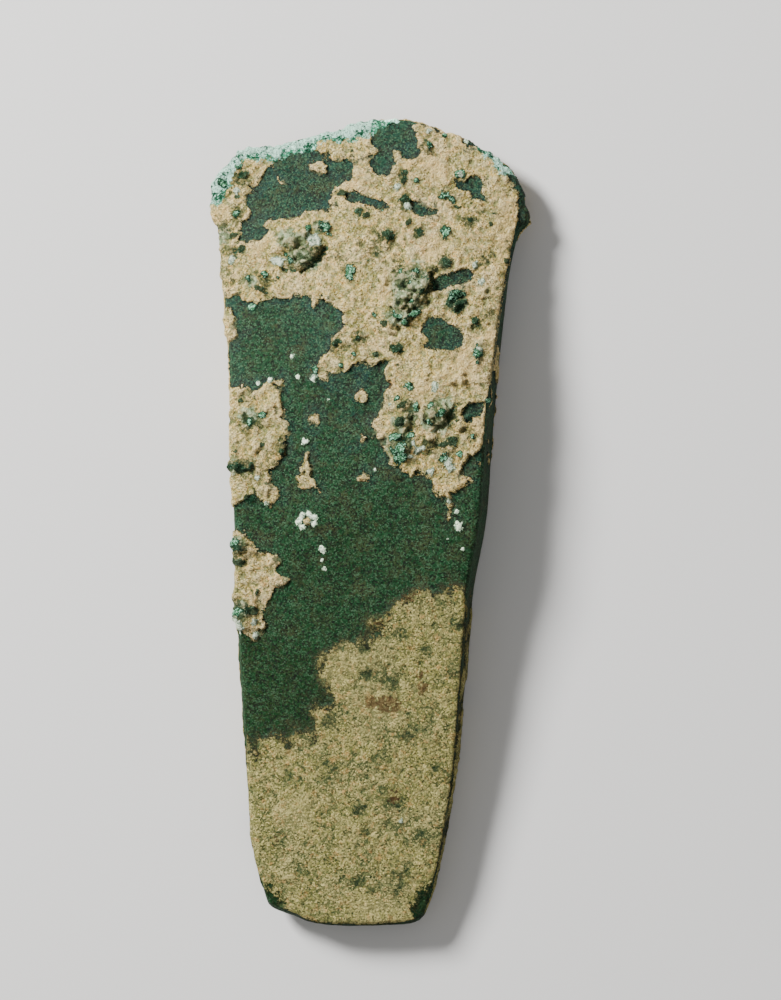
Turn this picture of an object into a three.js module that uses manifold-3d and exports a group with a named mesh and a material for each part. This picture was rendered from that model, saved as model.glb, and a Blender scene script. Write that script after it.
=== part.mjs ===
// A flat axe head of copper, cast and hammered, lying on its back face after long burial.
// Millimetres. +Y runs to the cutting edge, +X to the right as seen from above, +Z up.
// The origin is the centre of the bounding box at the surface that the axe lies on.

import * as THREE from "three";
import { mergeVertices } from "three/addons/utils/BufferGeometryUtils.js";
import Module from "manifold-3d";

// Cells of the skin across the axe, along it, and up its side walls. The four cells up a wall end
// at the back face, the lower arris, the waist, the upper arris and the front face.
const CELLS_ACROSS = 28;
const CELLS_ALONG = 62;
const CELLS_UP = 4;

// Thickness and the lift of the back face, at shares of the length from the butt to the cutting edge.
const STATIONS = [0, 0.07, 0.2, 0.37, 0.52, 0.62, 0.75, 0.85, 0.93, 1];
const THICKNESS = [4.0, 5.2, 6.6, 8.6, 10.4, 10.6, 9.4, 6.8, 4.2, 2.2];
const BACK_LIFT = [0.9, 0.4, 0.1, 0, 0, 0, 0.2, 0.9, 1.7, 2.5];
const FRONT_CROWN = 0.7; // how far the front face falls from its middle to its rims
const BACK_CROWN = 0.6; // the same on the back face
const ARRIS = 0.9; // width and height of the worn edge between a face and a side wall
const ARRIS_MOST = 0.42; // the arris takes no more than this share of the thickness on each face
const WALL_BULGE = 0.15; // how far the middle of a hammered side wall stands out

// The flats, before the whole is centred: the back is worn level at the ground's height, and the end of
// the butt is blunt where the outline would pass its place.
const GROUND_LEVEL = 0.08;
const BUTT_LEVEL = -60.5;
// The hammered flat on the front of the butt, where a haft bears. Its rise is for each mm along the axe.
const HAFT_FLAT = { y: -40, height: 6.44, halfWidth: 6.6, halfLength: 5.2, rise: 0.075 };

// The outline in plan, each side from the butt to the cutting edge, and both ends from left to right.
const LEFT_SIDE = [
  [-12.0, -57.6], [-13.2, -54.0], [-14.9, -47.2], [-15.3, -41.0], [-16.4, -30.0], [-17.2, -20.5],
  [-17.3, -16.8], [-18.0, -12.8], [-17.9, -8.8], [-18.4, 0.8], [-19.1, 8.0], [-19.3, 15.0],
  [-20.0, 24.0], [-20.8, 28.2], [-21.3, 30.0], [-21.1, 32.2], [-21.9, 36.0], [-22.4, 40.5],
  [-23.0, 43.4], [-24.2, 45.2], [-24.2, 47.4], [-24.4, 50.0],
];
const RIGHT_SIDE = [
  [12.3, -57.6], [13.7, -53.0], [15.2, -44.0], [16.3, -35.0], [17.2, -20.0], [17.8, -10.0],
  [18.7, -4.0], [19.4, 1.0], [19.8, 10.0], [20.3, 21.0], [21.0, 30.0], [21.8, 38.0],
  [22.8, 43.2], [23.5, 47.0], [23.6, 50.0],
];
const CUTTING_EDGE = [
  [-24.4, 50.0], [-23.5, 51.5], [-21.4, 53.9], [-20.2, 55.0], [-18.9, 56.0], [-17.4, 55.8],
  [-14.6, 56.1], [-12.0, 56.8], [-9.6, 57.5], [-7.4, 58.2], [-5.7, 58.4], [-4.0, 59.3],
  [-2.2, 60.1], [0.8, 60.5], [4.2, 60.5], [7.0, 60.2], [9.4, 59.5], [11.6, 58.5],
  [13.4, 58.2], [15.1, 57.7], [16.8, 56.4], [18.6, 55.6], [20.4, 54.1], [22.0, 52.6], [23.6, 50.0],
];
const BUTT_END = [
  [-12.0, -57.6], [-11.2, -58.3], [-9.6, -58.9], [-7.4, -59.5], [-5.4, -60.2], [-1.4, -60.7],
  [2.4, -60.5], [6.4, -60.2], [10.0, -59.8], [11.6, -59.0], [12.3, -57.6],
];

// Corrosion lumps on the front face: the place, half length, half width, turn in degrees, height.
const LUMPS = [
  { x: -11.6, y: 41.2, long: 5.2, wide: 3.8, turn: 25, height: 0.75 },
  { x: -8.6, y: 39.4, long: 3.0, wide: 1.5, turn: 55, height: 0.7 },
  { x: 8.2, y: 36.0, long: 4.2, wide: 2.2, turn: 48, height: 1.4 },
  { x: 5.6, y: 32.4, long: 3.6, wide: 2.0, turn: 15, height: 0.7 },
  { x: 13.6, y: 33.4, long: 2.0, wide: 1.7, turn: 0, height: 0.8 },
  { x: 6.4, y: 15.4, long: 3.4, wide: 1.7, turn: 75, height: 0.8 },
  { x: 12.2, y: 16.2, long: 3.2, wide: 2.4, turn: 60, height: 0.9 },
  { x: 7.4, y: 11.2, long: 2.6, wide: 1.6, turn: 20, height: 0.7 },
  { x: -17.0, y: -4.4, long: 1.9, wide: 1.7, turn: 0, height: 0.9 },
  { x: -16.2, y: -15.0, long: 2.6, wide: 2.2, turn: 80, height: 0.7 },
];

// A knob of copper salts that stands out of the right side, below the corner of the cutting edge.
const KNOB = { x: 23.3, y: 46.3, z: 3.5, halfWidth: 1.2, halfLength: 1.8, halfHeight: 1.5, turn: 20 };

// Broad dents left by the hammer and by corrosion: depth, and the length of the waves.
const DENT_DEPTH = 0.13;
const DENT_ACROSS = 17;
const DENT_ALONG = 23;

const COLOUR = 0x8d7c55;
const ROUGHNESS = 0.9;
const METALNESS = 0.1;

// The solid library's tools, ready to use.
const wasm = await Module();
wasm.setup();

/** A smooth curve in plan through points given as [x, y]. */
function planCurve(points) {
  const curve = new THREE.SplineCurve(points.map(([x, y]) => new THREE.Vector2(x, y)));
  curve.arcLengthDivisions = 600;
  return curve;
}

/** A smooth function of the share of the length, from its values at the stations. */
function alongProfile(values) {
  const curve = new THREE.CubicInterpolant(STATIONS, values, 1);
  return (share) => curve.evaluate(THREE.MathUtils.clamp(share, 0, 1))[0];
}

const left = planCurve(LEFT_SIDE);
const right = planCurve(RIGHT_SIDE);
const edge = planCurve(CUTTING_EDGE);
const butt = planCurve(BUTT_END);
const thicknessAt = alongProfile(THICKNESS);
const backLiftAt = alongProfile(BACK_LIFT);

/** The point in plan at shares across and along the outline, blended from its four sides. */
function planPoint(across, along) {
  const ends = butt.getPointAt(across).lerp(edge.getPointAt(across), along);
  const sides = left.getPointAt(along).lerp(right.getPointAt(along), across);
  const low = butt.getPointAt(0).lerp(butt.getPointAt(1), across);
  const high = edge.getPointAt(0).lerp(edge.getPointAt(1), across);
  return ends.add(sides).sub(low.lerp(high, along));
}

/** Height of one lump above the face at a point in plan. */
function lumpHeight(lump, x, y) {
  const turn = THREE.MathUtils.degToRad(lump.turn);
  const offset = new THREE.Vector2(x - lump.x, y - lump.y).rotateAround(new THREE.Vector2(), -turn);
  const reach = Math.hypot(offset.x / lump.long, offset.y / lump.wide);
  return reach < 1 ? lump.height * (1 - reach * reach) ** 2 : 0;
}

/** Depth of the broad dents at a point in plan, different on the two faces. */
function dent(x, y, phase) {
  const across = Math.sin((2 * Math.PI * x) / DENT_ACROSS + phase);
  const along = Math.sin((2 * Math.PI * (y + 0.4 * x)) / DENT_ALONG + 2 * phase);
  return DENT_DEPTH * across * along;
}

/** Whether a point in plan is on the flat where a haft bears. */
function onHaftFlat(x, y) {
  return Math.abs(x) < HAFT_FLAT.halfWidth && Math.abs(y - HAFT_FLAT.y) < HAFT_FLAT.halfLength;
}

/** Heights of the back and front faces where they meet the plan point. */
function faceHeights(across, along, x, y) {
  const fromMiddle = (2 * across - 1) ** 2;
  const thickness = thicknessAt(along);
  const fullness = thickness / Math.max(...THICKNESS);
  const back = backLiftAt(along) + (BACK_CROWN * fromMiddle + dent(x, y, 1)) * fullness;
  const lumps = LUMPS.reduce((sum, lump) => sum + lumpHeight(lump, x, y), 0);
  const bare = backLiftAt(along) + thickness - (FRONT_CROWN * fromMiddle + dent(x, y, 2)) * fullness;
  const haft = HAFT_FLAT.height + (y - HAFT_FLAT.y) * HAFT_FLAT.rise;
  return { back: Math.max(back, GROUND_LEVEL), front: onHaftFlat(x, y) ? haft : bare + lumps };
}

/** Moves a corner of the unit box's skin to its place on the axe. */
function onAxe(corner) {
  const across = corner.x + 0.5;
  const along = corner.y + 0.5;
  const level = Math.round((corner.z + 0.5) * CELLS_UP);
  const fromWaist = Math.abs(level - CELLS_UP / 2);
  const arris = Math.min(ARRIS, ARRIS_MOST * thicknessAt(along));
  const onFace = fromWaist === CELLS_UP / 2;
  const inset = onFace ? arris : WALL_BULGE * fromWaist;
  const width = right.getPointAt(along).x - left.getPointAt(along).x;
  const length = edge.getPointAt(across).y - butt.getPointAt(across).y;
  const inAcross = THREE.MathUtils.lerp(inset / width, 1 - inset / width, across);
  const inAlong = THREE.MathUtils.lerp(inset / length, 1 - inset / length, along);
  const plan = planPoint(inAcross, inAlong);
  const { back, front } = faceHeights(across, along, plan.x, plan.y);
  const heights = [back, back + arris, (back + front) / 2, front - arris, front];
  return new THREE.Vector3(plan.x, Math.max(plan.y, BUTT_LEVEL), heights[level]);
}

/** A closed solid from a three.js geometry. */
function solidFrom(geometry) {
  const bare = geometry.clone();
  bare.deleteAttribute("normal");
  bare.deleteAttribute("uv");
  const merged = mergeVertices(bare, 1e-4);
  const mesh = new wasm.Mesh({
    numProp: 3,
    vertProperties: merged.getAttribute("position").array,
    triVerts: new Uint32Array(merged.index.array),
  });
  return new wasm.Manifold(mesh);
}

/** A three.js geometry from a solid. */
function geometryFrom(solid) {
  const { vertProperties, triVerts } = solid.getMesh();
  const geometry = new THREE.BufferGeometry();
  geometry.setAttribute("position", new THREE.BufferAttribute(vertProperties, 3));
  geometry.setIndex(new THREE.BufferAttribute(triVerts, 1));
  geometry.computeVertexNormals();
  return geometry;
}

/** The axe's body: the skin of a box drawn out to the outline and the thickness. */
function axeBody() {
  const box = new THREE.BoxGeometry(1, 1, 1, CELLS_ACROSS, CELLS_ALONG, CELLS_UP);
  const corners = box.getAttribute("position");
  const corner = new THREE.Vector3();
  for (let i = 0; i < corners.count; i++) {
    corner.fromBufferAttribute(corners, i);
    const place = onAxe(corner);
    corners.setXYZ(i, place.x, place.y, place.z);
  }
  return solidFrom(box);
}

/** The knob on the right side, as a solid of its own to be joined to the body. */
function sideKnob() {
  const ball = new THREE.SphereGeometry(1, 12, 10);
  ball.rotateX(THREE.MathUtils.degToRad(KNOB.turn));
  ball.scale(KNOB.halfWidth, KNOB.halfLength, KNOB.halfHeight);
  ball.translate(KNOB.x, KNOB.y, KNOB.z);
  return solidFrom(ball);
}

/** The whole axe head, with the bottom centre of its bounding box at the origin. */
function axeHead() {
  const geometry = geometryFrom(axeBody().add(sideKnob()));
  geometry.computeBoundingBox();
  const { min, max } = geometry.boundingBox;
  geometry.translate(-(min.x + max.x) / 2, -(min.y + max.y) / 2, -min.z);
  return geometry;
}

const finish = new THREE.MeshStandardMaterial({
  color: COLOUR,
  roughness: ROUGHNESS,
  metalness: METALNESS,
});
const head = new THREE.Mesh(axeHead(), finish);
head.name = "axe_head";

const axe = new THREE.Group();
axe.add(head);

export default axe;
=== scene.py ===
"""A flat axe head of copper, buried for a long time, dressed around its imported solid.

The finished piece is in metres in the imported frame: +Y runs to the cutting edge, +X to the right, and +Z
out of the front face. Its surface is set out in millimetres, because crusts and grains are that small.
"""

import itertools
import logging
import math
from collections.abc import Sequence
from dataclasses import dataclass, field
from enum import Enum, IntEnum
from typing import Any

import bpy
import numpy as np
from mathutils import Matrix, Vector
from mathutils.kdtree import KDTree


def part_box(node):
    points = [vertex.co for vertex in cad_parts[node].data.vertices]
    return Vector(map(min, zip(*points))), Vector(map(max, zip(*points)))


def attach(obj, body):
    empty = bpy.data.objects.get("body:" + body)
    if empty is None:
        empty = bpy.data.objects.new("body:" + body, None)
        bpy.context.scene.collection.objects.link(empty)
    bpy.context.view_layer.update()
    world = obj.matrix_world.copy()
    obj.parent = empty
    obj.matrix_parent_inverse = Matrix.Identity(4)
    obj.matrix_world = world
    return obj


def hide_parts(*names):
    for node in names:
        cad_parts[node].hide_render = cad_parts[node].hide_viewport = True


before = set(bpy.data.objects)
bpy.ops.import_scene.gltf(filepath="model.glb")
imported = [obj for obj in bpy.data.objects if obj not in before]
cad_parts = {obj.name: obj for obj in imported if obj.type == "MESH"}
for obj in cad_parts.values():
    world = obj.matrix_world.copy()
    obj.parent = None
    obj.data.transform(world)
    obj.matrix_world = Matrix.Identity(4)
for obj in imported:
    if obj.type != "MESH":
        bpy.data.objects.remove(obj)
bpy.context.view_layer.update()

NODE = "axe_head"
MM = 0.001
REACH = 3.0  # distances to a patch's border are only told up to this many millimetres

Outline = Sequence[tuple[float, float]]  # corners, each across and along the view plane in millimetres
Plane = tuple[np.ndarray, np.ndarray]  # how far points lie across and along the view plane
Fields = dict[str, np.ndarray]
log = logging.getLogger("axe")


def ramp(low: float, high: float, values: np.ndarray) -> np.ndarray:
    """A smooth step from 0 where values are at low to 1 where they are at high."""
    share = np.clip((values - low) / (high - low), 0.0, 1.0)
    return share * share * (3.0 - 2.0 * share)


def lerp(first: Any, second: Any, share: Any) -> Any:
    """What lies between first and second at a share from 0 to 1."""
    return first + (second - first) * share


@dataclass(frozen=True)
class Sight:
    """The direction from which the axe is seen, and the camera that sees it.

    The view plane is square to the line of sight, and measured in millimetres from the frame's origin.
    """

    lean: float = math.radians(10.0)  # from straight above, towards +X
    roll: float = math.radians(2.0)  # the cutting edge leans this far to the right in the image
    middle: tuple[float, float] = (3.85, 3.51)  # the point of the view plane in the image's middle
    height: float = 150.0  # of the view plane that the image takes in
    lens: float = 260.0
    film: float = 36.0
    clip: tuple[float, float] = (0.05, 20.0)  # in metres, the nearest and the farthest that shows

    def across(self, points: np.ndarray) -> np.ndarray:
        """How far points in millimetres lie to the right in the view plane."""
        return points[:, 0] * math.cos(self.lean) - points[:, 2] * math.sin(self.lean)

    def camera(self) -> bpy.types.Object:
        """Adds the camera.

        Returns:
            The camera, which looks straight at the middle of its view.
        """
        right = Vector((math.cos(self.lean), 0.0, -math.sin(self.lean)))
        back = Vector((math.sin(self.lean), 0.0, math.cos(self.lean)))
        along = Vector((0.0, 1.0, 0.0))
        image_right = right * math.cos(self.roll) + along * math.sin(self.roll)
        image_up = back.cross(image_right)
        distance = self.height * self.lens / self.film
        place = right * self.middle[0] + along * self.middle[1] + back * distance
        data = bpy.data.cameras.new("camera")
        data.lens = self.lens
        data.sensor_width = self.film
        data.sensor_height = self.film
        data.clip_start, data.clip_end = self.clip
        camera = bpy.data.objects.new("camera", data)
        bpy.context.scene.collection.objects.link(camera)
        turn = Matrix((image_right, image_up, back)).transposed().to_4x4()
        camera.matrix_world = Matrix.Translation(place * MM) @ turn
        bpy.context.scene.camera = camera
        return camera


class Seed(IntEnum):
    """A seed for each noise in space, so that no two are alike."""

    SWAY_ACROSS = 11
    SWAY_ALONG = 12
    HIDDEN_PATCHES = 21
    HIDDEN_SAND = 22
    HIDDEN_BORDERS = 23
    SPOT_BORDERS = 31
    LUMPS = 41
    HIDDEN_COARSE = 42
    BEADS = 43
    CRUMBS = 44
    PITS = 45
    SALTS = 46
    PEEL = 47
    CRAGS = 48


@dataclass(frozen=True)
class Grain:
    """Repeatable noise in space, for points in millimetres."""

    seed: Seed

    def _chance(self, corner: np.ndarray, salt: int = 0) -> np.ndarray:
        """A number from 0 to 1 for each corner of a lattice of whole numbers, mixed by large primes."""
        word = 0xFFFFFFFF
        x, y, z = np.moveaxis(corner, -1, 0)
        mixed = (x * 73856093) ^ (y * 19349663) ^ (z * 83492791) ^ ((self.seed * 64 + salt) * 40503)
        mixed &= word
        for _ in range(2):
            mixed = (((mixed >> 16) ^ mixed) * 0x45D9F3B) & word
        return ((mixed >> 16) ^ mixed) / (word + 1.0)

    def _place(self, points: np.ndarray, size: float) -> np.ndarray:
        """Points in cells of a size, turned and moved so that no two sizes line up."""
        turn = Matrix.Rotation(self.seed + size, 3, Vector((0.48, 0.64, 0.6)))
        return points @ np.array(turn) / size + self.seed * 7.31

    def smooth(self, points: np.ndarray, size: float) -> np.ndarray:
        """Noise from -1 to 1 whose hills are about a size across."""
        place = self._place(points, size)
        corner = np.floor(place).astype(np.int64)
        share = place - corner
        share = share * share * share * (share * (share * 6.0 - 15.0) + 10.0)
        total = np.zeros(len(points))
        for step in itertools.product((0, 1), repeat=3):
            weight = np.prod(np.where(step, share, 1.0 - share), axis=1)
            total += weight * self._chance(corner + np.array(step))
        return 2.0 * total - 1.0

    def rough(self, points: np.ndarray, size: float, octaves: int = 3, gain: float = 1.15) -> np.ndarray:
        """Noise from about -1 to 1 with finer noise on it, each octave half as large and half as high."""
        total = np.zeros(len(points))
        for octave in range(octaves):
            total += self.smooth(points, size / 2**octave) / 2**octave
        return total * gain

    def cells(self, points: np.ndarray, size: float) -> tuple[np.ndarray, np.ndarray]:
        """Scattered seeds, one in each cell of a size.

        Returns:
            How far each point is from the nearest seed, in sizes, and that seed's own number, 0 to 1.
        """
        place = self._place(points, size)
        corner = np.floor(place).astype(np.int64)
        nearest = np.full(len(points), np.inf)
        number = np.zeros(len(points))
        for step in itertools.product((-1, 0, 1), repeat=3):
            cell = corner + np.array(step)
            seed = np.stack([self._chance(cell, salt) for salt in (1, 2, 3)], axis=1)
            away = np.linalg.norm(cell + seed - place, axis=1)
            closer = away < nearest
            nearest = np.where(closer, away, nearest)
            number = np.where(closer, self._chance(cell, 4), number)
        return nearest, number

    def beads(self, points: np.ndarray, size: float) -> np.ndarray:
        """Rounded beads side by side, 1 at a bead's top and 0 in the seams."""
        away, _ = self.cells(points, size)
        return 1.0 - ramp(0.05, 0.75, away)


def from_stretch(start: Sequence[float], end: Sequence[float], plane: Plane) -> np.ndarray:
    """How far points of the view plane are from the straight stretch between two corners."""
    (x, y), (x0, y0) = plane, start
    dx, dy = end[0] - x0, end[1] - y0
    share = np.clip(((x - x0) * dx + (y - y0) * dy) / (dx * dx + dy * dy), 0.0, 1.0)
    return np.hypot(x - x0 - share * dx, y - y0 - share * dy)


def beside(course: Outline, plane: Plane) -> np.ndarray:
    """How far points of the view plane are from an open course, in millimetres up to REACH."""
    nearest = np.full(len(plane[0]), REACH)
    for start, end in itertools.pairwise(course):
        nearest = np.minimum(nearest, from_stretch(start, end, plane))
    return nearest


def inside(outline: Outline, plane: Plane) -> np.ndarray:
    """How far points of the view plane are inside a closed outline.

    Args:
        outline: The outline's corners, in order.
        plane: Where the points lie across and along the view plane.

    Returns:
        Millimetres to the outline, negative outside it, held within REACH.
    """
    across, along = plane
    corners = np.array(outline, float)
    low, high = corners.min(0) - REACH, corners.max(0) + REACH
    near = (across > low[0]) & (across < high[0]) & (along > low[1]) & (along < high[1])
    x, y = across[near], along[near]
    distance = np.full(len(x), REACH)
    within = np.zeros(len(x), bool)
    for start, end in zip(corners, np.roll(corners, -1, axis=0)):
        distance = np.minimum(distance, from_stretch(start, end, (x, y)))
        (x0, y0), (x1, y1) = start, end
        if y0 != y1:
            crosses = (y0 > y) != (y1 > y)
            within ^= crosses & (x < x0 + (y - y0) * (x1 - x0) / (y1 - y0))
    result = np.full(len(across), -REACH)
    result[near] = np.where(within, distance, -distance)
    return result


def inside_any(outlines: dict[str, Outline], plane: Plane) -> np.ndarray:
    """How far points of the view plane are inside the nearest of several closed outlines."""
    return np.maximum.reduce([inside(outline, plane) for outline in outlines.values()])


# Where the crust has flaked off the front and bares the dark patina, as outlines in the view plane.
BARE_PATCHES: dict[str, Outline] = {
    "left shoulder": (
        (-9.6, 55.8), (-9.3, 55.0), (-7.5, 54.7), (-6.0, 54.2), (-4.5, 54.3), (-3.5, 53.7), (-3.2, 52.8),
        (-3.8, 51.6), (-5.0, 50.6), (-6.2, 49.8), (-7.0, 48.0), (-6.6, 46.6), (-7.4, 46.1), (-9.0, 46.4),
        (-10.3, 45.9), (-12.0, 45.1), (-15.5, 45.1), (-16.2, 43.9), (-15.8, 42.7), (-16.4, 41.8),
        (-17.6, 41.7), (-18.9, 40.9), (-19.9, 41.4), (-19.3, 44.0), (-18.8, 46.0), (-19.3, 48.0),
        (-18.0, 49.6), (-17.3, 50.2), (-17.0, 52.0), (-16.0, 53.3), (-14.9, 53.9), (-14.3, 55.0),
        (-12.0, 55.7),
    ),
    "crown": (
        (-0.5, 59.6), (-1.0, 58.2), (-0.9, 57.0), (-0.6, 56.3), (0.2, 55.9), (0.1, 55.3), (-0.9, 54.9),
        (-1.0, 53.6), (-0.5, 52.6), (0.4, 52.1), (1.2, 51.9), (1.8, 52.4), (2.1, 53.3), (3.1, 54.0),
        (2.5, 54.7), (2.3, 55.4), (2.0, 56.2), (2.8, 56.2), (3.7, 55.5), (4.0, 54.5), (5.9, 54.5),
        (6.2, 55.6), (6.4, 57.0), (5.9, 58.2), (5.3, 59.1), (5.6, 59.9), (8.0, 59.0), (10.4, 58.6),
        (11.2, 58.8), (10.0, 61.0), (0.4, 61.5),
    ),
    "rim spots": ((12.0, 59.2), (15.0, 58.5), (16.4, 56.9), (15.4, 56.3), (14.0, 56.6), (12.8, 57.2)),
    "right corner": (
        (18.8, 54.6), (19.4, 53.4), (20.0, 52.3), (20.3, 51.0), (21.2, 50.2), (21.2, 48.6), (21.4, 47.2),
        (21.5, 45.4), (21.9, 44.0), (25.0, 44.0), (25.0, 53.0), (21.0, 56.0),
    ),
    "left waist": (
        (-25.0, 33.2), (-21.2, 32.9), (-20.2, 33.0), (-19.2, 32.8), (-18.4, 32.1), (-16.4, 32.6),
        (-13.4, 32.9), (-12.2, 32.7), (-11.6, 33.6), (-10.9, 32.8), (-9.6, 33.5), (-8.9, 33.8),
        (-8.8, 32.3), (-8.1, 31.7), (-7.2, 33.4), (-6.0, 32.3), (-4.9, 31.6), (-3.8, 30.3), (-4.1, 29.4),
        (-5.7, 27.3), (-5.6, 26.3), (-7.5, 24.5), (-8.3, 23.4), (-8.6, 22.4), (-9.4, 20.0), (-12.0, 17.0),
        (-14.0, 20.6), (-15.6, 20.5), (-16.8, 19.3), (-18.6, 19.6), (-20.2, 19.8), (-25.0, 19.4),
    ),
    "middle": (
        (-13.0, 20.5), (-12.0, 21.6), (-10.5, 22.4), (-8.6, 22.2), (-7.4, 21.0), (-6.3, 20.6), (-6.1, 21.8),
        (-3.4, 22.1), (-1.5, 23.3), (0.8, 23.4), (2.5, 24.0), (2.1, 22.0), (3.3, 20.5), (2.6, 18.9),
        (2.1, 16.6), (0.7, 14.6), (0.9, 13.9), (2.6, 12.2), (2.5, 11.3), (3.4, 9.8), (3.1, 9.0), (4.2, 8.3),
        (7.0, 7.1), (8.2, 7.6), (9.4, 7.4), (9.9, 5.0), (10.5, 4.3), (12.4, 4.4), (13.3, 5.3), (15.2, 6.1),
        (16.0, 6.6), (14.2, 7.5), (14.0, 9.2), (15.1, 9.9), (15.9, 10.9), (17.0, 11.5), (18.0, 12.8),
        (21.0, 13.0), (21.0, -9.4), (16.9, -9.0), (13.0, -8.9), (11.8, -9.4), (7.4, -9.9), (5.0, -11.4),
        (4.3, -12.5), (3.6, -14.1), (3.2, -15.2), (2.4, -16.2), (1.0, -16.9), (-2.0, -18.0), (-3.8, -18.5),
        (-6.3, -20.6), (-6.1, -22.6), (-4.9, -25.0), (-4.9, -26.0), (-4.1, -26.6), (-4.6, -27.5),
        (-7.6, -28.1), (-6.5, -29.6), (-6.5, -31.0), (-7.0, -31.8), (-8.5, -30.7), (-9.4, -31.2),
        (-9.6, -32.8), (-10.1, -33.3), (-11.9, -31.5), (-12.9, -31.6), (-14.4, -33.2), (-15.1, -34.5),
        (-16.2, -33.0), (-20.0, -33.0), (-21.0, -17.4), (-18.3, -17.2), (-17.5, -16.9), (-16.6, -17.7),
        (-15.2, -17.9), (-14.4, -16.0), (-14.3, -13.6), (-13.2, -11.6), (-12.6, -10.2), (-11.1, -9.2),
        (-12.7, -7.8), (-12.5, -6.6), (-12.8, -5.4), (-15.2, -4.9), (-16.2, -3.2), (-17.2, -2.4),
        (-18.6, -2.0), (-22.0, -2.0), (-22.0, 1.6), (-19.4, 1.9), (-18.2, 2.6), (-16.4, 4.3), (-15.4, 2.8),
        (-14.6, 2.0), (-13.6, 2.1), (-12.5, 3.8), (-12.8, 4.8), (-14.5, 5.4), (-13.6, 7.2), (-12.4, 9.2),
        (-12.1, 10.5), (-12.3, 12.2), (-11.4, 13.9), (-12.3, 15.0), (-12.4, 16.2), (-13.1, 17.6),
    ),
    "left butt corner": ((-9.6, -59.2), (-11.2, -57.0), (-13.0, -55.6), (-15.0, -57.0), (-12.0, -61.0)),
    "right butt corner": (
        (10.0, -58.8), (9.9, -56.6), (11.0, -54.8), (12.3, -53.6), (15.0, -55.0), (13.0, -60.0),
    ),
}

# Small patches where the crust has flaked off cleanly, so that their borders are crisp.
SMALL_PATCHES: dict[str, Outline] = {
    "right spot": (
        (7.5, 28.6), (7.8, 29.6), (8.2, 30.6), (9.0, 31.0), (9.8, 30.9), (10.8, 30.7), (11.6, 30.0),
        (13.0, 29.4), (13.9, 28.2), (13.5, 26.7), (12.4, 26.0), (9.3, 26.1), (8.1, 26.5), (8.6, 27.6),
    ),
    "right streak": (
        (8.8, 34.8), (9.8, 35.0), (10.8, 35.1), (11.4, 35.6), (12.4, 35.8), (13.6, 36.0), (14.5, 36.6),
        (15.1, 37.6), (14.4, 38.2), (13.2, 38.2), (12.4, 37.6), (11.4, 37.2), (10.0, 37.0), (9.2, 36.3),
    ),
    "slash": (
        (-4.2, 49.1), (-3.0, 49.3), (-2.0, 49.0), (-1.0, 48.6), (0.2, 48.1), (1.3, 47.9), (2.2, 47.1),
        (1.9, 46.7), (0.4, 46.7), (-0.5, 47.3), (-2.0, 47.6), (-3.2, 47.8), (-4.3, 48.1),
    ),
    "short slash": (
        (5.4, 48.0), (6.2, 48.2), (7.1, 47.8), (8.1, 47.2), (9.2, 46.8), (9.0, 46.1), (8.0, 46.0),
        (7.0, 46.0), (6.1, 46.3), (5.5, 47.1),
    ),
    "star": (
        (11.6, 51.5), (12.4, 51.3), (13.4, 51.1), (14.0, 51.9), (15.0, 52.2), (15.7, 52.1), (16.0, 51.0),
        (15.6, 50.0), (16.1, 49.2), (16.9, 48.1), (15.4, 48.7), (14.4, 49.0), (13.9, 50.0), (13.0, 50.1),
        (12.2, 50.4),
    ),
    "nick": (
        (14.2, 15.5), (15.3, 15.5), (15.6, 16.1), (16.7, 16.1), (17.0, 17.0), (17.2, 18.3), (16.2, 18.3),
        (15.0, 18.0), (14.3, 17.5), (14.0, 16.5),
    ),
    "notch": ((-7.2, 47.6), (-6.4, 47.2), (-6.6, 46.4), (-7.4, 46.2), (-8.2, 46.8)),
}

# Scraps of crust left inside the bare patches.
CRUST_SCRAPS: dict[str, Outline] = {
    "island": (
        (-9.9, 53.4), (-9.0, 53.7), (-7.6, 53.7), (-6.8, 53.2), (-6.9, 52.5), (-7.8, 52.2), (-8.5, 51.5),
        (-9.3, 52.0), (-9.9, 52.8),
    ),
    "left tooth": ((-23.5, 31.4), (-21.2, 31.0), (-20.2, 30.5), (-20.1, 27.2), (-20.9, 26.3), (-23.0, 27.2)),
    "hourglass": (
        (-9.2, 9.5), (-8.3, 10.0), (-8.1, 9.2), (-8.7, 8.2), (-8.3, 7.3), (-8.1, 6.4), (-7.2, 5.4),
        (-6.5, 4.6), (-9.0, 4.9), (-9.8, 5.3), (-10.2, 6.5), (-9.3, 7.2), (-9.5, 8.6),
    ),
    "upper crumb": ((-1.7, 18.9), (-1.2, 19.8), (-0.4, 18.4), (-0.5, 17.7), (-1.4, 17.7)),
    "left crumb": ((-8.6, 15.4), (-8.0, 15.9), (-7.4, 15.2), (-7.6, 14.4), (-8.4, 14.5)),
    "middle crumb": ((-1.0, 13.4), (0.0, 13.2), (0.3, 12.5), (-0.4, 12.2), (-0.9, 12.7)),
    "lower crumb": ((-1.0, 7.0), (-0.3, 7.5), (0.2, 7.0), (0.6, 6.0), (-0.3, 6.1), (-0.9, 6.5)),
    "right crumb": ((1.0, -14.4), (2.2, -13.9), (3.6, -14.2), (3.3, -15.6), (2.2, -15.9), (1.4, -15.4)),
    "wall crumb": ((17.1, 9.6), (18.0, 10.2), (19.6, 6.0), (19.6, 0.0), (18.6, 0.4), (17.7, 5.0)),
    "shoulder crumb": ((-14.9, 51.6), (-14.2, 51.2), (-13.5, 50.7), (-14.3, 50.4), (-14.8, 50.9)),
    "ring centre": ((-9.1, 0.3), (-8.3, 0.6), (-7.9, -0.1), (-8.7, -0.6)),
    "row end": ((-14.3, 21.0), (-13.2, 21.1), (-12.8, 20.2), (-14.0, 20.0)),
    "streak": ((12.4, 5.0), (13.2, 5.1), (13.0, 2.6), (13.0, 0.6), (12.3, 0.6), (12.6, 2.6)),
}

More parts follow.
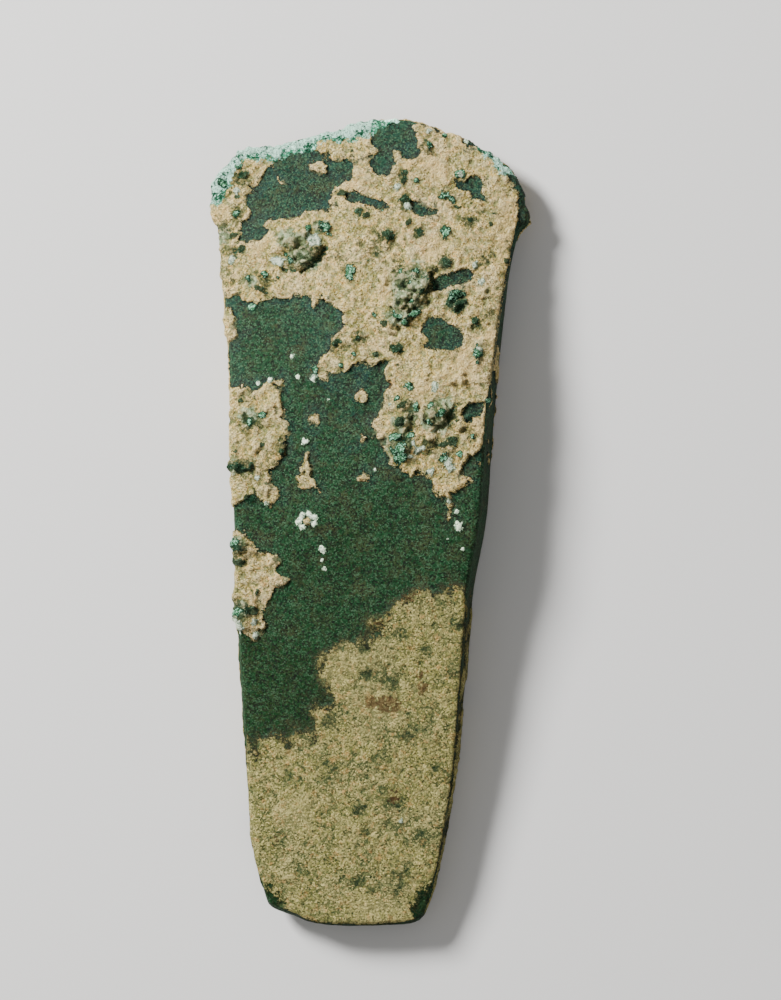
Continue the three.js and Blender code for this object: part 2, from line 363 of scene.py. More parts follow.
# The pale green band of copper salts along the left of the cutting edge, and its crumbs on the right.
MINT_BANDS: dict[str, Outline] = {
    "left": (
        (-26.5, 46.2), (-23.8, 46.2), (-22.6, 48.4), (-21.6, 50.3), (-21.0, 52.2), (-19.6, 53.3),
        (-18.0, 53.6), (-16.5, 53.7), (-14.8, 53.9), (-14.5, 54.7), (-12.0, 55.0), (-9.9, 55.5),
        (-9.0, 56.2), (-6.5, 56.7), (-3.2, 56.8), (-1.4, 57.5), (-0.8, 58.6), (0.0, 59.7), (3.0, 59.6),
        (3.5, 60.2), (3.0, 63.0), (-10.0, 61.0), (-22.0, 58.0), (-27.0, 52.0),
    ),
    "right": (
        (14.9, 56.5), (15.8, 55.4), (16.8, 54.3), (18.1, 53.1), (19.4, 52.0), (20.8, 53.0), (18.4, 56.4),
        (16.4, 57.8),
    ),
}


class Kind(Enum):
    """What a spot on the surface is made of. The last five fade out and have no mound of their own."""

    WHITE = "white"
    GREEN = "green"
    DARK = "dark"
    EARTH = "earth"
    STAIN = "stain"
    RUST = "rust"
    ROCK = "rock"
    PALE = "pale"
    COARSE = "coarse"

    @property
    def is_soft(self) -> bool:
        """Whether the spot fades out instead of ending at a border."""
        return self in (Kind.STAIN, Kind.RUST, Kind.ROCK, Kind.PALE, Kind.COARSE)


@dataclass(frozen=True)
class Spot:
    """A small mound or a soft stain, set out in the view plane in millimetres."""

    kind: Kind
    height: float  # a mound's, or the strength of a soft spot
    across: float
    along: float
    radius: float
    stretch: float = 1.0  # its length over its width
    turn: float = 0.0  # of its length from across, in degrees

    def reach(self, plane: Plane) -> tuple[np.ndarray, np.ndarray]:
        """Finds the points near the spot.

        Args:
            plane: Where the points lie across and along the view plane.

        Returns:
            Their numbers, and how far each is from the spot's middle, with 1 at the spot's border.
        """
        x, y = plane[0] - self.across, plane[1] - self.along
        most = 1.3 * self.radius * max(1.0, self.stretch) + 0.2  # the border's farthest, with its blur
        near = np.flatnonzero((np.abs(x) < most) & (np.abs(y) < most))
        x, y = x[near], y[near]
        turn = math.radians(self.turn)
        length = (x * math.cos(turn) + y * math.sin(turn)) / self.stretch
        width = y * math.cos(turn) - x * math.sin(turn)
        return near, np.hypot(length, width) / self.radius


@dataclass(frozen=True)
class Cleft:
    """A groove beside a large lump, set out in the view plane in millimetres."""

    depth: float
    width: float  # from its middle to its border
    course: Outline


def scatter(kind: Kind, height: float, *places: tuple[float, ...]) -> list[Spot]:
    """Spots of one kind and height, each given as across, along, radius and perhaps stretch and turn."""
    return [Spot(kind, height, *place) for place in places]


SPOTS: list[Spot] = [
    # Crystals of pale salts, some of them in a ring.
    *scatter(
        Kind.WHITE, 0.22, (3.2, 50.2, 0.62), (4.9, 47.2, 0.5, 1.3, -20), (-8.9, 41.8, 0.95, 1.25, -25),
        (9.8, 20.5, 0.55, 1.5, 90), (-9.2, 11.7, 0.6), (-6.0, -4.2, 0.6), (-5.8, -7.0, 0.4),
        (-6.0, -5.8, 0.25), (14.1, -0.2, 0.75), (14.7, -3.4, 0.4), (12.6, 3.5, 0.45), (13.7, 2.1, 0.4),
        (9.6, 8.0, 0.6, 1.4, 10), (-14.6, 2.4, 0.6), (-16.1, 6.1, 0.45), (-11.6, 24.4, 0.35),
        (7.6, 10.9, 0.65, 1.3, 70), (6.7, 10.2, 0.4, 1.6, 30), (7.2, -44.3, 0.5), (15.3, 38.8, 0.5),
        (-14.1, 38.6, 0.7, 1.5, -20), (-8.2, 21.2, 0.55), (-10.6, 21.4, 0.5), (-14.6, 20.7, 0.45),
        (-16.5, 20.2, 0.35), (-18.1, -16.0, 0.7, 1.6, 100), (-15.6, -17.4, 0.6), (-15.8, -15.3, 0.6),
        (-9.6, -0.1, 0.55, 1.3, 80), (-9.1, 0.8, 0.5, 1.2, 40), (-8.3, 1.15, 0.45),
        (-7.6, 0.6, 0.55, 1.3, -50), (-7.4, -0.4, 0.5, 1.2, 80), (-9.1, -0.95, 0.45),
        (12.5, 9.1, 0.8, 1.8, -50), (1.4, 7.9, 0.25), (-6.0, 18.1, 0.25), (12.5, -2.0, 0.3),
        (-21.0, 38.5, 0.5, 1.6, 80), (6.9, 12.1, 0.45), (13.2, 57.4, 0.45), (7.6, 58.6, 0.35),
        (12.6, 52.2, 0.35), (16.2, 36.3, 0.45), (16.2, 26.4, 0.45), (-20.7, 48.9, 0.45, 1.5, 50),
        (3.3, 17.6, 0.3), (8.4, 11.4, 0.4),
    ),
    # Bright green nodules.
    *scatter(
        Kind.GREEN, 0.25, (10.2, 49.1, 0.75), (11.6, 48.4, 0.6), (12.6, 52.3, 0.7),
        (10.7, 43.6, 0.7, 1.5, 80), (-3.2, 37.1, 0.85, 1.4, 100), (-16.1, 36.5, 0.6), (-18.4, 35.8, 0.5),
        (-17.8, 31.6, 0.55), (16.1, 25.6, 0.7, 2.2, 95), (-4.0, 23.2, 0.5), (6.4, 31.2, 0.75, 1.8, 25),
        (14.0, 10.8, 0.5), (4.3, 30.8, 0.5), (3.6, 31.0, 0.4), (4.2, 12.8, 0.85), (5.1, 11.3, 1.0, 1.4, 40),
        (5.1, 9.7, 0.85, 1.5, 20), (6.4, 13.2, 0.6), (-15.7, 15.6, 0.65), (-17.5, 14.6, 0.6),
        (6.1, 51.2, 0.45), (7.8, 56.5, 0.55), (10.0, 58.0, 0.4), (4.2, 18.6, 0.5, 1.8, 55),
        (-7.3, 43.8, 0.8, 1.6, -60), (-12.2, 38.8, 0.6), (-20.6, 45.6, 0.7), (6.0, 20.6, 0.7),
        (11.7, 9.9, 0.7, 1.6, -50), (17.9, 18.7, 0.5), (-8.0, 22.4, 0.6), (7.2, 17.3, 0.55, 2.0, 80),
        (9.4, 17.6, 0.5), (9.3, 15.4, 0.6), (-9.8, 43.6, 0.6), (-14.0, 36.0, 0.35), (6.4, 37.7, 0.6),
        (-18.5, -14.0, 0.8), (12.6, 34.2, 0.8, 1.5, 20), (11.0, 16.6, 0.6), (1.2, 46.6, 0.3),
        (-2.4, 25.0, 0.35), (-22.9, 50.0, 0.7), (-20.5, 52.6, 0.6), (0.6, 30.8, 0.5), (15.8, 13.4, 0.4),
        (-18.9, -3.6, 0.6),
    ),
    # Green flecks on the large lumps.
    *scatter(
        Kind.GREEN, 0.12, (4.3, 37.4, 0.3, 1.8, 60), (5.6, 35.9, 0.25, 2.0, 40), (5.8, 33.2, 0.25, 1.8, 20),
        (3.4, 31.6, 0.3), (5.0, 30.0, 0.45, 1.5, 0), (-13.0, 39.6, 0.3),
    ),
    # Dark green nodules.
    *scatter(
        Kind.DARK, 0.28, (4.5, 48.3, 0.8, 1.3, 30), (2.1, 42.8, 0.85), (-1.2, 45.8, 0.6), (-2.4, 46.2, 0.6),
        (5.0, 44.9, 0.55), (6.9, 43.4, 0.6), (4.2, 52.3, 0.5), (4.2, 51.2, 0.5, 1.3, 60),
        (11.0, 39.2, 0.75, 1.2, 50), (13.2, 33.0, 0.7, 2.0, 60), (11.8, 33.2, 0.6, 2.0, 70),
        (12.9, 31.9, 0.6), (15.6, 30.4, 0.7), (-16.6, 34.3, 0.5, 1.8, -25), (-20.0, 51.4, 0.75),
        (-20.6, 48.1, 0.4), (-3.6, 55.4, 0.4), (-21.0, 42.2, 0.6), (4.0, 26.0, 0.7, 1.6, -10),
        (-5.0, 26.6, 0.5, 1.5, 10), (-1.9, 27.4, 0.5), (-18.8, 7.6, 0.8, 1.8, 0), (-17.0, 7.9, 0.5),
        (-18.4, -4.3, 0.8), (-18.4, -6.4, 0.7, 1.6, 10), (-16.3, -13.6, 0.7, 1.6, -10), (14.2, 45.6, 0.35),
        (17.8, 46.6, 0.3, 2.0, -10), (12.2, 47.4, 0.3, 3.0, 3), (-5.0, 48.9, 0.55, 1.3, 10),
        (19.8, 39.6, 0.5), (4.7, 15.0, 0.6, 1.5, 60), (5.0, 17.6, 0.5, 1.6, 60), (-11.5, 13.7, 0.4),
        (-12.6, 10.0, 0.4, 1.8, 80), (1.0, 25.0, 0.4), (-17.2, 3.1, 0.6, 1.6, 10),
        (-19.6, 40.0, 0.5, 1.5, 70), (2.0, 29.6, 0.5), (7.3, 34.8, 0.4, 1.3, 80), (6.6, 20.3, 0.4),
        (12.8, 12.6, 0.7, 1.4, -20), (13.4, 15.6, 0.4), (17.4, 45.0, 0.3), (11.4, 12.0, 0.5, 2.0, 20),
        (-15.5, 11.0, 0.4), (-18.9, 17.6, 0.5), (-19.3, 10.0, 0.5), (-15.6, -11.0, 0.35, 2.2, 80),
    ),
    # Low mounds of earth.
    *scatter(
        Kind.EARTH, 0.35, (-12.8, 42.6, 1.2), (-10.6, 44.0, 1.1), (-14.0, 40.4, 1.1),
        (-9.0, 40.2, 0.9, 1.8, 55), (-10.8, 38.0, 0.9, 1.6, 10), (5.0, 37.0, 1.2, 1.3, 40),
        (6.8, 34.0, 1.3, 1.5, 60), (4.4, 33.6, 1.1), (3.6, 17.2, 0.7, 1.5, 60), (6.0, 15.8, 0.7, 2.0, 75),
        (10.6, 17.2, 1.2), (13.8, 15.4, 1.0, 1.5, 30), (9.6, 13.4, 1.0), (-18.8, -3.8, 1.0),
        (-17.4, -12.2, 1.2, 1.5, 80), (-19.2, 12.0, 0.9), (-16.0, 10.8, 1.0), (-13.4, 17.4, 0.8),
        (-15.2, 4.2, 0.9), (8.6, 22.6, 0.9), (13.6, 22.0, 0.9), (2.6, 29.0, 1.0), (-2.4, 33.6, 1.0),
        (1.6, 35.4, 1.1, 1.4, 100), (0.0, 31.0, 0.9), (16.4, 34.6, 0.9), (17.4, 22.4, 0.8),
    ),
    # High mounds of earth on the large lumps.
    *scatter(
        Kind.EARTH, 0.6, (4.2, 36.2, 1.5, 1.2, 60), (6.3, 37.4, 1.1), (5.0, 34.2, 1.2, 1.3, -20),
        (3.9, 32.7, 1.1), (6.7, 33.6, 1.1, 1.5, 60), (7.5, 35.9, 0.9, 1.6, 75), (5.2, 31.0, 1.0, 1.5, 10),
        (9.6, 16.8, 0.9, 1.8, 80), (11.0, 16.2, 0.9, 1.6, 70), (8.2, 16.6, 0.5, 3.0, 82),
        (-12.4, 41.4, 1.1), (-10.6, 39.6, 1.2), (-10.9, 42.9, 1.0),
    ),
    # Green stains around the nodules and the lumps.
    *scatter(
        Kind.STAIN, 0.8, (-10.4, 38.6, 2.0, 2.0, 20), (8.6, 36.2, 1.5, 2.2, 75), (7.4, 34.6, 1.2),
        (-8.0, 39.6, 1.3, 1.8, 60), (12.8, 33.0, 1.6), (4.6, 29.8, 1.4, 2.2, 5), (-5.6, 26.8, 2.4, 1.5, 10),
        (-1.8, 27.2, 1.6), (12.6, 16.6, 1.4, 2.0, 70), (6.2, 12.4, 1.6, 2.4, 80), (6.4, 17.0, 1.4, 2.2, 80),
        (-17.4, 14.6, 2.6), (-18.2, 7.6, 2.2, 1.6, 0), (-18.6, -5.0, 2.2), (-18.4, -13.6, 2.6),
        (-21.2, 50.8, 2.8), (-20.8, 40.0, 1.8), (-20.6, 45.6, 1.7), (10.6, 49.2, 2.0), (4.2, 48.0, 1.9),
        (2.2, 42.8, 1.7), (14.4, 45.8, 2.2), (17.6, 31.8, 1.6), (-22.6, 43.6, 2.4), (12.2, 10.0, 2.2),
        (15.4, 14.0, 1.8), (-3.2, 37.2, 1.8), (-2.0, 46.0, 1.6), (6.9, 43.4, 1.4), (10.7, 43.4, 1.6),
        (10.6, 39.4, 1.6), (7.8, 56.2, 1.8), (-12.2, 11.0, 1.6, 1.8, 80), (4.2, 26.0, 1.6),
        (2.2, 20.6, 1.5), (9.4, 11.6, 2.4), (-16.4, 35.6, 1.8, 1.5, 10), (-17.6, 18.6, 1.6),
        (12.6, 52.3, 1.4), (4.0, 52.0, 1.4), (20.4, 42.0, 1.6), (18.4, 18.4, 1.4), (15.6, 30.4, 1.6),
    ),
    # Deep green stains beside the large lump on the right.
    *scatter(
        Kind.STAIN, 1.2, (8.8, 36.8, 0.8, 2.0, 80), (8.2, 34.8, 0.8, 1.6, 70), (8.4, 32.8, 0.7),
        (7.3, 34.8, 0.6, 1.3, 50), (4.6, 35.2, 0.7, 1.8, 60), (6.2, 37.6, 0.5, 1.6, 30),
        (4.0, 33.0, 0.5, 1.6, 110), (6.6, 32.2, 0.5, 1.5, 40),
    ),
    # Stains along the left wall.
    *scatter(
        Kind.STAIN, 0.7, (-23.8, 42.6, 1.3, 2.0, 85), (-23.0, 37.8, 1.3, 2.4, 85),
        (-22.4, 31.6, 1.0, 2.0, 85), (-21.4, 16.0, 1.0, 3.0, 88), (-21.0, 6.0, 1.0, 3.0, 88),
        (-22.6, 47.6, 1.2, 1.8, 40),
    ),
    # Faint, wide stains.
    *scatter(
        Kind.STAIN, 0.55, (0.4, 41.2, 3.6, 1.3, 20), (-5.0, 39.6, 2.4), (-22.0, 36.0, 2.2, 1.4, 90),
        (3.4, 38.6, 2.4), (16.4, 40.0, 2.2), (-14.6, 9.0, 2.4), (12.0, 26.0, 1.8),
        (-21.6, 14.0, 2.4, 1.5, 90),
    ),
    # Stains on the sand of the butt half.
    *scatter(
        Kind.STAIN, 0.75, (5.6, -41.2, 2.4, 1.3, -30), (0.8, -42.6, 2.0), (7.0, -52.4, 2.2, 1.7, 75),
        (-11.7, -47.4, 2.0), (1.8, -45.8, 1.2), (3.0, -54.8, 1.2), (8.0, -31.2, 2.4), (10.6, -27.0, 1.8),
        (-4.4, -29.8, 2.0), (14.0, -21.6, 1.6), (1.2, -53.4, 1.4), (-9.2, -38.4, 2.0), (1.4, -22.6, 2.0),
        (4.6, -23.8, 2.2), (-15.4, -33.6, 1.8), (0.2, -18.4, 1.6), (12.0, -36.0, 1.8), (-4.0, -37.4, 2.2),
        (3.6, -34.6, 1.8), (9.8, -19.0, 1.6), (14.6, -14.6, 1.6), (-7.6, -52.6, 1.6), (6.0, -16.4, 1.5),
        (10.4, -46.4, 1.8), (-12.6, -40.6, 1.5),
    ),
    # Stony crust on the large lumps and around the nodules.
    *scatter(
        Kind.ROCK, 1.0, (4.4, 36.0, 2.4, 1.3, 60), (6.2, 36.2, 2.6, 1.4, 70), (5.4, 33.4, 2.8),
        (4.0, 31.2, 2.0, 1.4, 10), (-10.6, 40.4, 3.2), (-12.8, 41.8, 2.0), (-9.4, 38.6, 2.0),
        (9.8, 17.0, 2.2, 1.5, 80), (11.2, 16.2, 2.2, 1.6, 70), (7.0, 16.6, 1.3, 2.2, 80), (4.6, 15.0, 1.4),
        (12.6, 33.4, 2.2), (-17.6, 15.0, 2.0), (-18.4, -3.8, 1.4), (-18.2, -13.8, 1.8, 1.4, 80),
        (-19.4, 7.6, 1.4, 1.8, 0), (-18.4, 35.6, 1.4), (-22.6, 42.4, 1.6, 1.4, 80),
        (4.8, 12.0, 2.2, 1.5, 60), (16.0, 26.0, 1.2, 1.8, 90), (-8.0, 43.8, 1.6), (10.4, 38.8, 1.2),
    ),
    # Paler zones of the crusts.
    *scatter(
        Kind.PALE, 1.0, (-1.0, -20.5, 5.0, 1.3, 30), (2.6, -27.5, 4.5), (20.0, 44.0, 3.4, 2.0, 85),
        (9.0, 41.0, 2.6), (-23.4, 45.0, 2.2), (8.6, 53.0, 3.2), (4.6, 53.4, 2.0), (16.6, 15.0, 2.2),
        (8.4, 19.6, 2.4, 1.6, 80), (-3.4, 50.6, 2.4), (14.0, 24.4, 3.4, 1.6, 60), (1.8, 35.0, 1.6, 1.8, 90),
        (-17.0, 40.6, 2.0), (-8.8, -44.0, 4.0), (4.0, -57.0, 4.0, 1.6, 0), (-12.6, 30.0, 0.5),
        (17.6, 28.4, 1.6), (-20.4, 23.6, 2.0), (-15.0, 0.5, 1.6),
    ),
    # Rusty stains.
    *scatter(
        Kind.RUST, 0.9, (12.0, -8.2, 1.5, 3.4, 4), (3.6, -26.9, 1.5, 2.4, -4), (9.6, -24.4, 1.2),
        (-9.9, -28.8, 0.9), (-16.7, -20.0, 0.8), (2.4, -14.9, 1.4), (7.4, -10.4, 1.2, 1.8, 20),
        (2.4, 20.6, 1.3), (5.8, -40.6, 1.2), (-11.6, -47.8, 0.8), (-0.6, 6.0, 0.7), (-13.4, -24.4, 0.9),
        (9.0, -22.2, 0.8), (20.6, 51.8, 1.0),
    ),
    # Where the earth's relief is coarsest.
    *scatter(
        Kind.COARSE, 1.0, (-11.3, 41.0, 5.5), (6.0, 35.5, 5.5), (12.8, 33.4, 2.8),
        (8.5, 14.5, 5.5, 1.3, 80), (3.5, 30.5, 4.5), (-4.0, 27.0, 3.5, 1.6, 0), (-16.5, 13.0, 4.0, 1.5, 80),
        (-17.0, -5.0, 3.5), (-17.5, -13.0, 3.0), (-21.5, 42.0, 3.0, 1.5, 90), (-21.0, 50.0, 3.0),
        (3.0, 48.0, 2.5), (10.5, 49.0, 2.5), (1.0, 36.0, 4.0), (0.5, 41.0, 4.5), (2.5, -23.5, 6.0, 1.4, 0),
        (15.5, 31.0, 3.0), (12.0, 22.0, 3.0), (-20.0, 36.0, 2.5),
    ),
]

CLEFTS: list[Cleft] = [
    Cleft(0.28, 0.60, ((-13.2, 37.4), (-10.8, 37.0), (-8.8, 38.0), (-7.6, 39.8), (-7.1, 41.2))),
    Cleft(0.12, 0.50, ((-13.0, 42.4), (-12.4, 41.0), (-11.9, 39.4))),
    Cleft(0.16, 0.65, ((7.4, 32.8), (8.0, 34.2), (8.7, 35.4), (9.1, 36.6), (9.0, 38.0))),
    Cleft(0.16, 0.50, ((6.2, 36.4), (7.4, 36.7), (8.6, 37.2))),
    Cleft(0.12, 0.45, ((6.9, 19.2), (6.5, 17.2), (6.1, 15.0), (5.9, 12.4))),
    Cleft(0.18, 0.50, ((13.5, 18.5), (12.9, 17.4), (12.3, 16.4), (12.0, 14.6))),
    Cleft(0.14, 0.40, ((-2.6, 38.5), (-0.8, 39.3), (0.6, 40.1))),
    Cleft(0.06, 0.40, ((-7.4, 37.4), (-5.6, 37.7), (-3.8, 38.2))),
    Cleft(0.10, 0.40, ((2.6, 29.6), (4.6, 29.3), (6.6, 29.7))),
    Cleft(0.20, 0.45, ((-21.0, 41.0), (-20.3, 38.8), (-20.9, 36.8))),
    Cleft(0.10, 0.45, ((-19.9, 8.6), (-18.6, 6.9), (-16.6, 7.2))),
    Cleft(0.08, 0.45, ((-19.4, -7.6), (-18.0, -7.4), (-17.2, -6.0))),
]


@dataclass(frozen=True)
class Burial:
    """What long burial did to the surface: where each crust lies and how high it stands, in millimetres."""

    sight: Sight
    crust_height: float = 0.12
    sand_height: float = 0.07
    salts_height: float = 0.08
    bare_depth: float = 0.08
    back_depth: float = 0.35  # the back is worn down this far, so that its crust ends at the solid
    sway: float = 0.45  # how far noise moves a crust's border
    crisp_sway: float = 0.3  # the share of that at a small patch's border
    spot_sway: float = 0.42  # how far noise moves a spot's border, in the spot's radii
    wear: float = 3.0  # how far worn places lie outside a crust's border
    least_relief: float = 0.42  # the share of its relief that the plainest crust has
    coarse_relief: float = 0.58  # what the coarsest crust has more

    def fields(self, points: np.ndarray, normals: np.ndarray) -> Fields:
        """The surface's fields at points of the smooth axe.

        Args:
            points: Places in millimetres, one row each.
            normals: The smooth surface's normals there.

        Returns:
            Each field by its name. Height is in millimetres along the normal, crust and mint are distances
            inside those borders, and the others are shares from 0 to 1.
        """
        across, along = self.sight.across(points), points[:, 1]
        sway = [Grain(seed).rough(points, 1.4) * self.sway for seed in (Seed.SWAY_ACROSS, Seed.SWAY_ALONG)]
        ragged = across + sway[0], along + sway[1]
        crisp = across + self.crisp_sway * sway[0], along + self.crisp_sway * sway[1]
        front, seen = self._in_view(normals)
        crust = lerp(self._hidden_crust(points, normals), self._seen_crust(ragged, crisp), seen)
        crust -= self.wear * self._worn(normals, along) * seen
        mint = lerp(-REACH, inside_any(MINT_BANDS, ragged), front)
        sand = self._sand(points, (across, along), seen)
        spots = self._spots(points, (across, along), seen)
        coarse, mound = spots.pop(Kind.COARSE.value), spots.pop("mound")
        relief = self._coarseness(points, coarse, spots[Kind.ROCK.value], front)
        height = self._height(points, relief, crust, mint, sand, spots[Kind.ROCK.value])
        height = height + mound - self.back_depth * (1.0 - front)
        return {"height": height, "crust": crust, "mint": mint, "sand": sand, **spots}

    @staticmethod
    def _in_view(normals: np.ndarray) -> tuple[np.ndarray, np.ndarray]:
        """How far the surface belongs to the front, and how far the front's pattern shows on it.

        The left wall stands as high as the front does, but its pattern is set by chance, like the back's.
        """
        front = ramp(0.05, 0.4, normals[:, 2] + 0.45 * np.clip(-normals[:, 0], 0.0, 1.0))
        return front, front * ramp(0.12, 0.38, normals[:, 2])

    @staticmethod
    def _worn(normals: np.ndarray, along: np.ndarray) -> np.ndarray:
        """How far the crust is worn off where the front turns down to the walls and to the butt's end."""
        right = ramp(0.42, 0.78, normals[:, 0])
        butt = ramp(0.45, 0.80, -normals[:, 1]) * (along < 0.0)
        left = ramp(0.60, 0.90, -normals[:, 0]) * ramp(0.0, -20.0, along) * 0.6
        return np.maximum.reduce([right, butt, left])

    @staticmethod
    def _seen_crust(ragged: Plane, crisp: Plane) -> np.ndarray:
        """How far points of the front are inside the crust's border; crisp is where they are less ragged."""
        bare = np.maximum(inside_any(BARE_PATCHES, ragged), inside_any(SMALL_PATCHES, crisp))
        return np.maximum(-bare, inside_any(CRUST_SCRAPS, ragged))

    @staticmethod
    def _hidden_crust(points: np.ndarray, normals: np.ndarray) -> np.ndarray:
        """How far points of the back and the walls are inside the crust's border, by chance alone."""
        on_wall = ramp(0.75, 0.35, np.abs(normals[:, 2]))
        patches = Grain(Seed.HIDDEN_PATCHES).rough(points, 15.0, 5)
        borders = Grain(Seed.HIDDEN_BORDERS).rough(points, 4.0)
        return np.clip(patches * 6.0 + borders * 2.2 + 0.5 - 1.6 * on_wall, -REACH, REACH)

    @staticmethod
    def _sand(points: np.ndarray, plane: Plane, seen: np.ndarray) -> np.ndarray:
        """Where the crust is the thin, even sand of the butt half, not the thick earth of the other."""
        across, along = plane
        front = ramp(-5.0, -7.0, along) * ramp(1.0, 4.0, 0.75 * across - 0.66 * along)
        back = ramp(4.0, -6.0, along + 6.0 * Grain(Seed.HIDDEN_SAND).smooth(points, 9.0))
        return lerp(back, front, seen)

    def _spots(self, points: np.ndarray, plane: Plane, seen: np.ndarray) -> Fields:
        """The spots' shares by kind, with the clefts' painted shade in the dark share, and as mound the
        height of all of them and of the clefts.
        """
        blur = Grain(Seed.SPOT_BORDERS).rough(points, 0.6, 2) * self.spot_sway
        result = {kind.value: np.zeros(len(points)) for kind in Kind}
        mound = np.zeros(len(points))
        for spot in SPOTS:
            near, reach = spot.reach(plane)
            if spot.kind.is_soft:
                share = ramp(1.25, 0.1, reach) * spot.height
            else:
                reach = reach + blur[near]
                share = np.clip(1.15 - reach, 0.0, 1.0)
                dome = np.sqrt(np.clip(1.0 - reach * reach, 0.0, 1.0)) * seen[near]
                dome = dome * spot.height * min(1.0, spot.radius + 0.3)  # small spots stand lower
                mound[near] = np.maximum(mound[near], dome)
            field_here = result[spot.kind.value]
            field_here[near] = np.maximum(field_here[near], share * seen[near])
        dark = Kind.DARK.value
        # Painted shade: each cleft's groove takes the dark nodules' colour, and deeper clefts are darker.
        for cleft in CLEFTS:
            groove = ramp(cleft.width, 0.0, beside(cleft.course, plane) + blur * 0.8) * seen
            mound -= groove * cleft.depth
            tint = min(0.34, 1.3 * cleft.depth)  # deep clefts are darker
            result[dark] = np.maximum(result[dark], groove * tint)
        result["mound"] = mound
        del result[Kind.EARTH.value]  # a mound of earth has the crust's own colour
        return result

    def _coarseness(
        self, points: np.ndarray, coarse: np.ndarray, rock: np.ndarray, front: np.ndarray
    ) -> np.ndarray:
        """The share of its full relief that the earth has, from plain to coarse."""
        hidden = (1.0 - front) * ramp(0.0, 0.5, Grain(Seed.HIDDEN_COARSE).smooth(points, 9.0))
        return self.least_relief + self.coarse_relief * np.maximum.reduce([coarse, hidden, rock])

    def _height(
        self,
        points: np.ndarray,
        coarse: np.ndarray,
        crust: np.ndarray,
        mint: np.ndarray,
        sand: np.ndarray,
        rock: np.ndarray,
    ) -> np.ndarray:
        """How far earth, sand, salts or bare metal stands out of the smooth axe, without its spots."""
        lumps = Grain(Seed.LUMPS).rough(points, 3.6)
        beads = Grain(Seed.BEADS).beads(points, 1.3) - 0.45
        crumbs = Grain(Seed.CRUMBS).rough(points, 0.8, 2)
        peel = Grain(Seed.PEEL).rough(points, 1.1)
        crag = rock * (0.5 - np.abs(Grain(Seed.CRAGS).rough(points, 1.9)))
        away, chance = Grain(Seed.PITS).cells(points, 1.8)
        pits = ramp(0.26, 0.1, away) * (chance > 0.5)
        relief = 0.12 + 0.20 * lumps + 0.22 * beads + 0.10 * crumbs - 0.25 * pits
        earth = self.crust_height + coarse * relief + 0.14 * peel + 0.05 * crumbs + 0.45 * crag
        even = self.sand_height + 0.04 * lumps + 0.06 * peel + 0.04 * crumbs
        even += 0.10 * (coarse - self.least_relief) * crumbs
        bare = -self.bare_depth + 0.02 * lumps + 0.012 * crumbs
        salts = self.salts_height + 0.22 * Grain(Seed.SALTS).rough(points, 1.1) + 0.10 * crumbs
        height = lerp(bare, lerp(earth, even, sand), ramp(-0.05, 0.25, crust))
        return lerp(height, salts, ramp(-0.1, 0.4, mint))


def only(piece: bpy.types.Object) -> None:
    """Makes a piece the one selected, active object."""
    bpy.ops.object.select_all(action="DESELECT")
    piece.select_set(True)
    bpy.context.view_layer.objects.active = piece


def apply_modifier(piece: bpy.types.Object, kind: str, **settings: Any) -> None:
    """Adds a modifier of a kind with its settings to a piece, and applies it."""
    modifier = piece.modifiers.new(kind.lower(), kind)
    for name, value in settings.items():
        setattr(modifier, name, value)
    only(piece)
    bpy.ops.object.modifier_apply(modifier=modifier.name)


def corners_of(mesh: bpy.types.Mesh, layer: str = "co") -> np.ndarray:
    """A mesh's corners, or their normals, as rows of three numbers."""
    numbers = np.empty(len(mesh.vertices) * 3)
    mesh.vertices.foreach_get(layer, numbers)
    return numbers.reshape(-1, 3)


